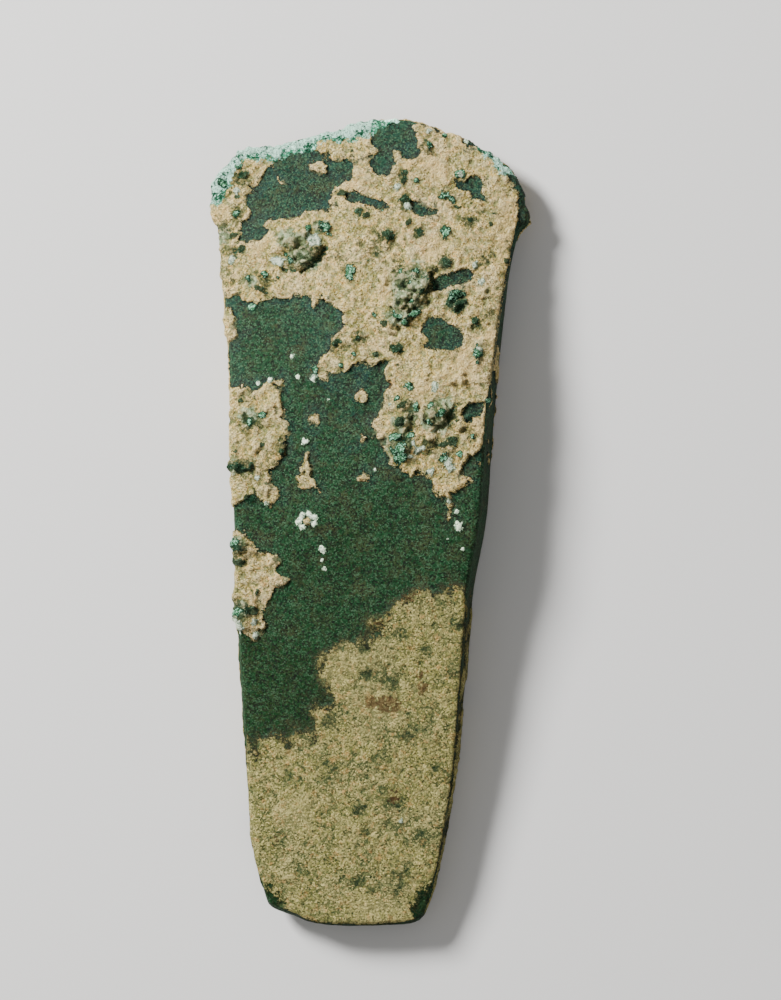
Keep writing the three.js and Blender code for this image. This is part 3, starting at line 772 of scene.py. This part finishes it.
@dataclass
class AxeHead:
    """The axe head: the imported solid's form, with the fine relief of its crusts."""

    burial: Burial
    voxel: float = 0.21  # in millimetres, of the fine skin
    quick_voxel: float = 0.42
    smoothing: int = 22  # rounds that take the solid's facets away
    most_triangles: int = 194_000
    piece: bpy.types.Object = field(init=False)

    def build(self) -> bpy.types.Object:
        """Makes the piece with its relief, its fields and its map.

        Returns:
            The finished mesh object, at the origin.
        """
        self.piece = self._copy_of_solid()
        self._fine_skin()
        places, normals = corners_of(self.piece.data) / MM, corners_of(self.piece.data, "normal")
        raised = self._raise(places, normals)
        self._thin()
        self._note_fields(places, normals, raised)
        self._lay_out_map()
        bpy.ops.object.shade_smooth()
        log.info("%s has %d triangles", self.piece.name, len(self.piece.data.polygons))
        return self.piece

    def _copy_of_solid(self) -> bpy.types.Object:
        """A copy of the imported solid's mesh, with its loose triangles joined."""
        piece = bpy.data.objects.new("axe_head_surface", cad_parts[NODE].data.copy())
        piece.data.materials.clear()
        bpy.context.scene.collection.objects.link(piece)
        only(piece)
        bpy.ops.object.mode_set(mode="EDIT")
        bpy.ops.mesh.select_all(action="SELECT")
        bpy.ops.mesh.remove_doubles(threshold=1e-6)
        bpy.ops.object.mode_set(mode="OBJECT")
        return piece

    def _fine_skin(self) -> None:
        """Gives the piece an even, fine skin without facets."""
        voxel = self.voxel
        rounds = round(self.smoothing * (self.voxel / voxel) ** 2)
        apply_modifier(self.piece, "REMESH", mode="VOXEL", voxel_size=voxel * MM, use_smooth_shade=True)
        apply_modifier(self.piece, "SMOOTH", factor=0.5, iterations=rounds)
        log.info("fine skin of %d corners", len(self.piece.data.vertices))

    def _raise(self, places: np.ndarray, normals: np.ndarray) -> np.ndarray:
        """Moves the skin out and in by the burial's height, no lower than the ground.

        Returns:
            Where the corners are now, in millimetres.
        """
        height = self.burial.fields(places, normals)["height"]
        raised = places + normals * height[:, None]
        raised[:, 2] = np.maximum(raised[:, 2], 0.0)
        self.piece.data.vertices.foreach_set("co", (raised * MM).ravel())
        self.piece.data.update()
        return raised

    def _thin(self) -> None:
        """Takes triangles away where the relief is plainest, down to the most that the piece may have."""
        apply_modifier(self.piece, "TRIANGULATE")
        share = self.most_triangles / len(self.piece.data.polygons)
        if share < 1.0:
            apply_modifier(self.piece, "DECIMATE", ratio=share)
            apply_modifier(self.piece, "TRIANGULATE")

    def _note_fields(self, places: np.ndarray, normals: np.ndarray, raised: np.ndarray) -> None:
        """Stores the fields at the corners, for the finish, read where the skin lay before it was raised."""
        tree = KDTree(len(raised))
        for number, place in enumerate(raised):
            tree.insert(place, number)
        tree.balance()
        mesh = self.piece.data
        source = np.array([tree.find(place)[1] for place in corners_of(mesh) / MM])
        fields = self.burial.fields(places[source], normals[source])
        fields["hollow"] = self._hollow(fields["height"])
        for name, values in fields.items():
            layer = mesh.attributes.new(name, "FLOAT", "POINT")
            layer.data.foreach_set("value", values.astype(np.float32))

    def _edge_ends(self) -> np.ndarray:
        """The corner at each edge's start and the one at its end, as two rows."""
        mesh = self.piece.data
        ends = np.empty(len(mesh.edges) * 2, np.int64)
        mesh.edges.foreach_get("vertices", ends)
        return ends.reshape(-1, 2).T

    def _hollow(self, height: np.ndarray, rounds: int = 8) -> np.ndarray:
        """How far each corner lies below the mean of its neighbourhood, in millimetres."""
        first, second = self._edge_ends()
        size = len(height)
        count = np.bincount(first, minlength=size) + np.bincount(second, minlength=size)
        mean = height.copy()
        for _ in range(rounds):
            around = np.bincount(first, mean[second], size) + np.bincount(second, mean[first], size)
            mean = 0.5 * mean + 0.5 * around / count
        return mean - height

    def _lay_out_map(self) -> None:
        """Lays the surface out flat in columns: the front, the back, the right and left walls, the ends."""
        mesh = self.piece.data
        low, high = (np.array(corner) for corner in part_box(NODE))
        width, length, depth = high - low
        margin = 0.02 * width
        columns = np.array([width, width, depth, depth, depth]) + 2.0 * margin
        front, back, right, left, ends = np.cumsum(columns) - columns + margin
        corner_of = np.empty(len(mesh.loops), np.int64)
        mesh.loops.foreach_get("vertex_index", corner_of)
        x, y, z = (corners_of(mesh)[corner_of] - low).T
        facing = self._broad_normals()[corner_of].reshape(-1, 3, 3).mean(axis=1).repeat(3, axis=0)
        is_wall = np.abs(facing[:, 2]) <= 0.5  # the face leans 60 degrees or more from level
        is_end = is_wall & (np.abs(facing[:, 1]) > np.abs(facing[:, 0]))
        across = np.select(
            [is_end, is_wall & (facing[:, 0] > 0.0), is_wall, facing[:, 2] > 0.0],
            [ends + z, right + z, left + z, front + x],
            back + width - x,
        )
        up = np.where(is_end, x + (facing[:, 1] <= 0.0) * columns[0], y) + 2.0 * margin
        flat = np.stack([across / columns.sum(), up / (length + 4.0 * margin)], axis=1)
        mesh.uv_layers.new(name="OFBake").data.foreach_set("uv", flat.ravel())

    def _broad_normals(self, rounds: int = 12) -> np.ndarray:
        """The corners' normals, evened out over their neighbourhood."""
        first, second = self._edge_ends()
        normals = corners_of(self.piece.data, "normal")
        for _ in range(rounds):
            total = normals.copy()
            np.add.at(total, first, normals[second])
            np.add.at(total, second, normals[first])
            normals = total / np.linalg.norm(total, axis=1)[:, None]
        return normals


class Value:
    """One output of a shader's node, which can stand in sums with numbers and other values."""

    def __init__(self, desk: "NodeDesk", socket: bpy.types.NodeSocket) -> None:
        """Wraps a node's output socket."""
        self.desk = desk
        self.socket = socket

    def _math(self, operation: str, *terms: Any) -> "Value":
        """The result of a Math node's operation on terms, in their order."""
        return self.desk.add("ShaderNodeMath", {"operation": operation}, dict(enumerate(terms)))

    def __add__(self, other: Any) -> "Value":
        """This value plus another."""
        return self._math("ADD", self, other)

    def __sub__(self, other: Any) -> "Value":
        """This value less another."""
        return self._math("SUBTRACT", self, other)

    def __rsub__(self, other: Any) -> "Value":
        """A number less this value."""
        return self._math("SUBTRACT", other, self)

    def __mul__(self, other: Any) -> "Value":
        """This value times another."""
        return self._math("MULTIPLY", self, other)

    __radd__ = __add__
    __rmul__ = __mul__

    def most(self, other: Any) -> "Value":
        """The larger of this value and another."""
        return self._math("MAXIMUM", self, other)

    def between(self, low: float, high: float) -> "Value":
        """A smooth step from 0 where this value is at low to 1 where it is at high."""
        if low > high:
            return 1.0 - self.between(high, low)
        sockets = {"Value": self, "From Min": low, "From Max": high}
        return self.desk.add("ShaderNodeMapRange", {"interpolation_type": "SMOOTHSTEP"}, sockets)


Colour = tuple[float, float, float]


class NodeDesk:
    """Adds nodes to one material's tree."""

    def __init__(self, tree: bpy.types.NodeTree) -> None:
        """Starts on an emptied tree."""
        tree.nodes.clear()
        self.tree = tree
        self.place = self.add("ShaderNodeTexCoord", {}, {}, "Object")

    def node(self, kind: str, settings: dict[str, Any], sockets: dict[Any, Any]) -> bpy.types.Node:
        """Adds one node.

        Args:
            kind: The node's type.
            settings: Its own settings, which are made first.
            sockets: A value or a link for each input, by the input's name or number.

        Returns:
            The node.
        """
        node = self.tree.nodes.new(kind)
        for name, setting in settings.items():
            setattr(node, name, setting)
        for name, given in sockets.items():
            entry = node.inputs[name]
            if isinstance(given, Value):
                self.tree.links.new(given.socket, entry)
            elif isinstance(given, tuple) and len(entry.default_value) == 4:
                entry.default_value = (*given, 1.0)
            else:
                entry.default_value = given
        return node

    def add(self, kind: str, settings: dict[str, Any], sockets: dict[Any, Any], output: Any = 0) -> Value:
        """Adds one node, and gives one of its outputs, by name or number."""
        return Value(self, self.node(kind, settings, sockets).outputs[output])

    def mix(self, share: Any, first: Any, second: Any, blend: str = "MIX") -> Value:
        """A colour between two colours, or one blended over the other by a share."""
        settings = {"data_type": "RGBA", "blend_type": blend}
        return self.add("ShaderNodeMix", settings, {0: share, 6: first, 7: second}, 2)

    def layered(self, colour: Value, *layers: tuple[Value, Any]) -> Value:
        """A colour with layers over it, each given as its share and its own colour."""
        for share, tint in layers:
            colour = self.mix(share, colour, tint)
        return colour

    def attribute(self, name: str) -> Value:
        """A field stored at the mesh's corners."""
        return self.add("ShaderNodeAttribute", {"attribute_name": name}, {}, "Fac")

    def noise(self, size: float, detail: float = 2.0, roughness: float = 0.5) -> Value:
        """Noise about 0.5 whose hills are a size across, in millimetres."""
        sockets = {"Vector": self.place, "Scale": 1.0 / (size * MM), "Detail": detail, "Roughness": roughness}
        return self.add("ShaderNodeTexNoise", {}, sockets, "Fac")

    def cells(self, size: float, output: str = "Distance") -> Value:
        """The distance to the nearest of scattered seeds, in cells of a size in millimetres."""
        sockets = {"Vector": self.place, "Scale": 1.0 / (size * MM)}
        return self.add("ShaderNodeTexVoronoi", {}, sockets, output)

    def chance(self, size: float) -> Value:
        """A chance number from 0 to 1 for each grain of a size in millimetres."""
        return self.add("ShaderNodeSeparateColor", {}, {"Color": self.cells(size, "Color")}, "Red")


class CrustDesk(NodeDesk):
    """A desk with the noises and fields that the finish's layers share, so that they keep in step."""

    def __init__(self, tree: bpy.types.NodeTree) -> None:
        """Adds the shared noises and reads the shared fields."""
        super().__init__(tree)
        self.fine = self.chance(0.19)
        self.grain = self.noise(0.36, 3.0, 0.7)
        self.cloud = self.noise(2.2, 7.0, 0.74)
        self.grit = self.chance(0.36)
        self.seam = self.cells(0.36)
        self.along = self.add("ShaderNodeSeparateXYZ", {}, {"Vector": self.place}, "Y")
        self.sand = self.attribute("sand")
        self.border = self.attribute("crust")
        self.hollow = self.attribute("hollow")

    def blur(self, **weights: Any) -> Value:
        """Noise about 0: the shared noises that are named, each times its weight."""
        first, *others = [(getattr(self, name) - 0.5) * weight for name, weight in weights.items()]
        return sum(others, first)

    def spot(self, kind: str, blur: Value) -> Value:
        """The share of a kind of spot, with its border blurred by noise, and 0 where there is no spot."""
        share = self.attribute(kind)
        return share + blur * share.between(0.0, 0.3)


@dataclass(frozen=True)
class BuriedCopper:
    """The finish of the axe head: dark patina under earth, sand and copper salts, with painted shade in the
    hollows, seams and clefts and a painted highlight on the humps. Colours are linear.
    """

    patina: Colour = (0.003, 0.042, 0.010)
    patina_grey: Colour = (0.003, 0.038, 0.020)
    patina_deep: Colour = (0.000, 0.027, 0.002)
    patina_brown: Colour = (0.038, 0.042, 0.013)
    patina_blue: Colour = (0.010, 0.034, 0.034)
    patina_pale: Colour = (0.044, 0.104, 0.050)
    patina_black: Colour = (0.001, 0.003, 0.001)
    earth: Colour = (0.98, 0.70, 0.21)
    earth_pink: Colour = (1.0, 0.70, 0.29)
    earth_orange: Colour = (0.80, 0.40, 0.125)
    earth_olive: Colour = (0.30, 0.28, 0.070)
    # earth_green_and_shade, earth_pale_and_highlight and sand_pale_and_highlight also colour the painted
    # shade in the hollows and the painted highlight on the humps.
    earth_green_and_shade: Colour = (0.20, 0.25, 0.095)
    earth_pale_and_highlight: Colour = (1.00, 0.85, 0.46)
    # earth_dark_and_shade colours dark grains of earth, and also the painted shade in the hollows.
    earth_dark_and_shade: Colour = (0.080, 0.066, 0.020)
    sand: Colour = (0.31, 0.30, 0.085)
    sand_pale_and_highlight: Colour = (0.74, 0.63, 0.25)
    sand_green: Colour = (0.115, 0.150, 0.062)
    sand_dark: Colour = (0.026, 0.046, 0.016)
    fringe: Colour = (0.046, 0.047, 0.020)
    stain: Colour = (0.036, 0.070, 0.026)
    stain_deep: Colour = (0.010, 0.032, 0.014)
    rock: Colour = (0.095, 0.150, 0.078)
    rock_pale: Colour = (0.50, 0.62, 0.37)
    rock_deep: Colour = (0.012, 0.045, 0.016)
    rust: Colour = (0.090, 0.044, 0.017)
    mint: Colour = (0.050, 0.32, 0.17)
    mint_pale: Colour = (0.62, 1.0, 0.79)
    mint_deep: Colour = (0.008, 0.07, 0.03)
    white: Colour = (0.86, 0.98, 0.72)
    white_rim: Colour = (0.16, 0.26, 0.16)
    green: Colour = (0.055, 0.20, 0.085)
    green_pale: Colour = (0.42, 0.84, 0.55)
    green_rim: Colour = (0.006, 0.040, 0.018)
    dark: Colour = (0.005, 0.036, 0.014)
    dark_glint: Colour = (0.11, 0.22, 0.13)

    def material(self) -> bpy.types.Material:
        """Builds the material.

        Returns:
            A material that reads the fields stored at the mesh's corners.
        """
        material = bpy.data.materials.new("buried_copper")
        material.use_nodes = True
        desk = CrustDesk(material.node_tree)
        crust = self._crust(desk)
        colour = self._fringe(desk, desk.mix(crust, self._bare(desk), self._covered(desk)))
        colour = self._salts(desk, colour)
        # Painted shade: every layer is darkened in the hollows of the relief.
        colour = desk.mix(desk.hollow.between(0.06, 0.20) * 0.5, colour, self.earth_dark_and_shade, "MULTIPLY")
        sockets = {
            "Base Color": colour,
            "Roughness": 0.6 + 0.3 * crust,
            "Specular IOR Level": 0.15,
            "Normal": self._bump(desk, crust),
        }
        surface = desk.add("ShaderNodeBsdfPrincipled", {}, sockets)
        desk.node("ShaderNodeOutputMaterial", {}, {"Surface": surface})
        return material

    def _crust(self, desk: CrustDesk) -> Value:
        """Where a crust covers the patina, with crumbs of it outside its border and holes inside."""
        loose = desk.blur(cloud=2.2 + 9.0 * desk.sand, grain=1.0 + 3.0 * desk.sand, fine=0.25)
        crust = ((desk.border + loose) * (1.0 - 0.8 * desk.sand)).between(-0.08, 0.08)
        dust = (desk.border * 0.30 + desk.blur(grain=3.0, fine=0.5)).between(0.45, 0.75)
        hole = (desk.border * 0.45 - desk.blur(cloud=7.0, grain=2.0)).between(-0.35, -0.6)
        return crust.most(dust * 0.5) - hole * crust * 0.85

    def _covered(self, desk: CrustDesk) -> Value:
        """The crusts, with painted shade in their hollows and seams, paler in the pale zones, and with a
        painted highlight on the humps.
        """
        # Painted shade: the crusts' hollows and the seams between grains are darkened with green earth or
        # stain colour.
        painted_shade = (desk.hollow + (desk.seam - 0.45) * 0.16 + desk.blur(grit=0.06)).between(0.01, 0.09)
        zone = desk.spot("pale", desk.blur(cloud=4.0, grain=2.0)).between(0.1, 0.9)
        # Painted highlight: the humps of the relief are paler.
        painted_highlight = (desk.hollow + desk.blur(grit=0.08)).between(-0.02, -0.09)
        colour = desk.layered(
            desk.mix(desk.sand, self._rock(desk, self._earth(desk)), self._sand(desk)),
            # painted shade in the hollows and seams, then the pale zones, then the painted highlight on the
            # humps
            (painted_shade * 0.6, desk.mix(desk.sand, self.earth_green_and_shade, self.stain)),
            (zone * (0.45 - 0.27 * desk.sand), desk.mix(desk.sand, self.earth_pink, self.sand_pale_and_highlight)),
            (painted_highlight * 0.35, desk.mix(desk.sand, self.earth_pale_and_highlight, self.sand_pale_and_highlight)),
        )
        return self._stains(desk, colour)

    def _bare(self, desk: CrustDesk) -> Value:
        """The dark patina where the crust is gone: greyer near the cutting edge, greener near the butt."""
        wide = (desk.noise(7.0, 3.0) - 0.5) * 2.0
        deep = (desk.along * 30.0 + wide).between(0.0, -0.9)
        brown = desk.noise(3.0, 6.0, 0.7).between(0.49, 0.62) * (0.8 - 0.55 * deep)
        rim = (desk.border + (desk.noise(2.4, 3.0) - 0.5) * 8.0).between(-1.6, -0.2)
        return desk.layered(
            desk.mix((desk.along * 20.0 + wide).between(0.0, 1.0), self.patina, self.patina_grey),
            (deep, self.patina_deep),
            (brown, self.patina_brown),
            (rim * (desk.along * 60.0).between(-1.0, 1.0) * 0.5, self.patina_blue),
            (desk.cloud.between(0.50, 0.66) * 0.25, self.patina_pale),
            (desk.cloud.between(0.49, 0.38) * 0.5, self.patina_black),
            (desk.grit.between(0.72, 0.98) * 0.22, self.patina_pale),
            (desk.grit.between(0.50, 0.30) * 0.35, self.patina_brown),
            (desk.grit.between(0.26, 0.05) * 0.4, self.patina_black),
            (desk.fine.between(0.68, 1.0) * (0.95 - 0.3 * deep), self.patina_pale),
            (desk.fine.between(0.40, 0.10) * 0.85, self.patina_black),
        )

    def _earth(self, desk: CrustDesk) -> Value:
        """The thick crust of earth on the cutting half."""
        hue = desk.noise(0.9, 3.0, 0.6)
        pits = desk.cells(1.7).between(0.20, 0.08) * desk.noise(5.0, 2.0).between(0.48, 0.56)
        return desk.layered(
            desk.mix(desk.noise(6.0, 4.0).between(0.42, 0.62), self.earth, self.earth_pink),
            (desk.noise(4.0, 5.0, 0.6).between(0.50, 0.62) * 0.7, self.earth_olive),
            (hue.between(0.52, 0.66) * 0.62, self.earth_orange),
            (hue.between(0.47, 0.34) * 0.6, self.earth_green_and_shade),
            (desk.cloud.between(0.50, 0.62) * 0.55, self.earth_pale_and_highlight),
            (desk.cloud.between(0.49, 0.38) * 0.65, self.earth_olive),
            (desk.grit.between(0.66, 1.0) * 0.55, self.earth_pale_and_highlight),
            (desk.grit.between(0.30, 0.0) * 0.5, self.earth_dark_and_shade),
            (desk.grain.between(0.45, 0.30) * 0.62, self.earth_dark_and_shade),
            (desk.fine.between(0.62, 1.0) * 0.75, self.earth_pale_and_highlight),
            (desk.fine.between(0.36, 0.0) * 0.75, self.earth_dark_and_shade),
            (pits * 0.85, self.rock_deep),
        )

    def _rock(self, desk: CrustDesk, colour: Value) -> Value:
        """Lays grey-green stony crust over the earth's colour."""
        stony = desk.layered(
            desk.mix(desk.cloud.between(0.48, 0.60), self.rock, self.rock_pale),
            (desk.grit.between(0.70, 1.0) * 0.6, self.rock_pale),
            ((desk.cloud + desk.grain * 0.6).between(0.80, 0.72) * 0.85, self.rock_deep),
        )
        share = desk.spot("rock", desk.blur(cloud=3.0, grain=1.4))
        return desk.mix(share.between(0.2, 0.6) * 0.92, colour, stony)

    def _sand(self, desk: CrustDesk) -> Value:
        """The thin sand on the butt half."""
        cloud = desk.noise(3.4, 8.0, 0.76)
        return desk.layered(
            desk.mix(desk.noise(5.0, 4.0).between(0.42, 0.6) * 0.5, self.sand, self.earth_olive),
            (desk.noise(8.0, 6.0, 0.65).between(0.50, 0.60) * 0.6, self.sand_green),
            (cloud.between(0.48, 0.60) * 0.5, self.sand_pale_and_highlight),
            (cloud.between(0.47, 0.40) * 0.6, self.sand_green),
            (desk.noise(0.9, 3.0, 0.6).between(0.53, 0.66) * 0.5, self.earth_orange),
            (desk.grit.between(0.66, 1.0) * 0.55, self.sand_pale_and_highlight),
            (desk.grit.between(0.34, 0.0) * 0.55, self.stain),
            (desk.grain.between(0.46, 0.34) * 0.55, self.sand_dark),
            (desk.fine.between(0.60, 1.0) * 0.85, self.sand_pale_and_highlight),
            (desk.fine.between(0.38, 0.0) * 0.8, self.sand_dark),
        )

    def _stains(self, desk: CrustDesk, colour: Value) -> Value:
        """Lays the green and the rusty stains over the crusts' colour."""
        patchy = desk.blur(cloud=-3.8, grain=1.6, grit=0.7)
        green, rust = desk.spot("stain", patchy), desk.spot("rust", patchy)
        return desk.layered(
            colour,
            (green.between(0.46, 0.58) * 0.65, self.stain),
            (green.between(0.88, 1.0) * 0.65, self.stain_deep),
            (rust.between(0.34, 0.66) * 0.8, self.rust),
        )

    def _fringe(self, desk: CrustDesk, colour: Value) -> Value:
        """Lays the brown stain over both sides of the border between the sand and the bare patina."""
        near = desk.border + desk.blur(cloud=8.0, grain=3.0)
        near = near.between(-1.1, -0.3) * near.between(1.0, 0.3)
        butt = (desk.along * 100.0).between(-4.8, -5.4)
        tint = desk.mix(butt, self.fringe, self.patina_deep)
        return desk.mix(near * desk.sand * (0.4 + 0.45 * butt), colour, tint)

    def _salts(self, desk: CrustDesk, colour: Value) -> Value:
        """Lays the copper salts, the nodules and the clefts' painted shade over a colour."""
        mint = desk.attribute("mint")
        patch = desk.noise(1.8, 6.0, 0.72)
        powder = (patch + desk.grain * 0.6 + mint * 0.09).between(0.82, 0.88)
        pale = desk.layered(
            desk.mix(powder, self.mint, self.mint_pale),
            ((patch + desk.grain * 0.5).between(0.72, 0.67) * 0.95, self.mint_deep),
            (desk.fine.between(0.30, 0.05) * 0.6, self.mint_deep),
            (desk.fine.between(0.74, 1.0) * 0.45, self.mint_pale),
        )
        blur = desk.blur(grain=1.3, fine=0.3)
        dark, green, white = (desk.spot(kind, blur) for kind in ("dark", "green", "white"))
        glint = desk.mix(desk.grain.between(0.54, 0.66), self.dark, self.dark_glint)
        fresh = desk.mix((desk.grain + desk.fine * 0.3).between(0.64, 0.78), self.green, self.green_pale)
        fresh = desk.mix(green.between(0.72, 0.36), fresh, self.green_rim)
        rim = (white + desk.blur(grain=2.0, fine=0.4)).between(0.75, 0.25)
        return desk.layered(
            colour,
            ((mint + desk.blur(cloud=4.0, grain=1.2)).between(-0.1, 0.1), pale),
            # the dark nodules, and the painted shade in the clefts
            (dark.between(0.14, 0.28) * 0.95, glint),
            (green.between(0.10, 0.26), fresh),
            (white.between(0.12, 0.26), desk.mix(rim, self.white, self.white_rim)),
        )

    def _bump(self, desk: CrustDesk, crust: Value) -> Value:
        """The normal of grains too small for the mesh."""
        rough = 0.75 * desk.grain + 1.3 * desk.cloud - 0.20 * desk.seam - 0.16 * desk.cells(0.85)
        height = crust * (0.05 + rough + 0.07 * desk.fine) + 0.16 * desk.grain + 0.20 * desk.cloud
        return desk.add("ShaderNodeBump", {}, {"Strength": 1.0, "Distance": MM, "Height": height})


@dataclass(frozen=True)
class Studio:
    """A pale floor and soft light around the axe, in metres."""

    floor_size: float = 3.0
    floor_colour: Colour = (0.72, 0.71, 0.69)
    floor_roughness: float = 0.9
    key_place: tuple[float, float, float] = (-0.50, 0.42, 0.42)
    key_size: float = 0.22
    key_power: float = 18.2
    fill_place: tuple[float, float, float] = (0.35, -0.35, 0.7)
    fill_size: float = 0.6
    fill_power: float = 0.9
    sky: float = 0.28

    def build(self) -> None:
        """Adds the floor, the two lights and the light of the sky."""
        self._floor()
        self._lamp("key", self.key_place, self.key_size, self.key_power)
        self._lamp("fill", self.fill_place, self.fill_size, self.fill_power)
        world = bpy.data.worlds.new("sky")
        world.use_nodes = True
        world.node_tree.nodes["Background"].inputs["Color"].default_value = (1.0, 1.0, 1.0, 1.0)
        world.node_tree.nodes["Background"].inputs["Strength"].default_value = self.sky
        bpy.context.scene.world = world

    def _floor(self) -> None:
        """The floor, which the axe lies on."""
        bpy.ops.object.select_all(action="DESELECT")
        bpy.ops.mesh.primitive_plane_add(size=self.floor_size)
        floor = bpy.context.object
        floor.name = "floor"
        material = bpy.data.materials.new("pale_floor")
        material.use_nodes = True
        shader = material.node_tree.nodes["Principled BSDF"]
        shader.inputs["Base Color"].default_value = (*self.floor_colour, 1.0)
        shader.inputs["Roughness"].default_value = self.floor_roughness
        floor.data.materials.append(material)

    def _lamp(self, name: str, place: tuple[float, float, float], size: float, power: float) -> None:
        """A square lamp at a place, which shines on the origin."""
        data = bpy.data.lights.new(name, "AREA")
        data.size = size
        data.energy = power
        lamp = bpy.data.objects.new(name, data)
        bpy.context.scene.collection.objects.link(lamp)
        lamp.location = place
        lamp.rotation_euler = Vector(place).to_track_quat("Z", "Y").to_euler()


def main() -> None:
    """Builds the camera, the axe head and the studio."""
    logging.basicConfig(level=logging.INFO, format="%(name)s: %(message)s")
    sight = Sight()
    sight.camera()
    head = AxeHead(Burial(sight)).build()
    head.data.materials.append(BuriedCopper().material())
    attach(head, "root")
    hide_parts(NODE)
    Studio().build()


if __name__ == "__main__":
    main()
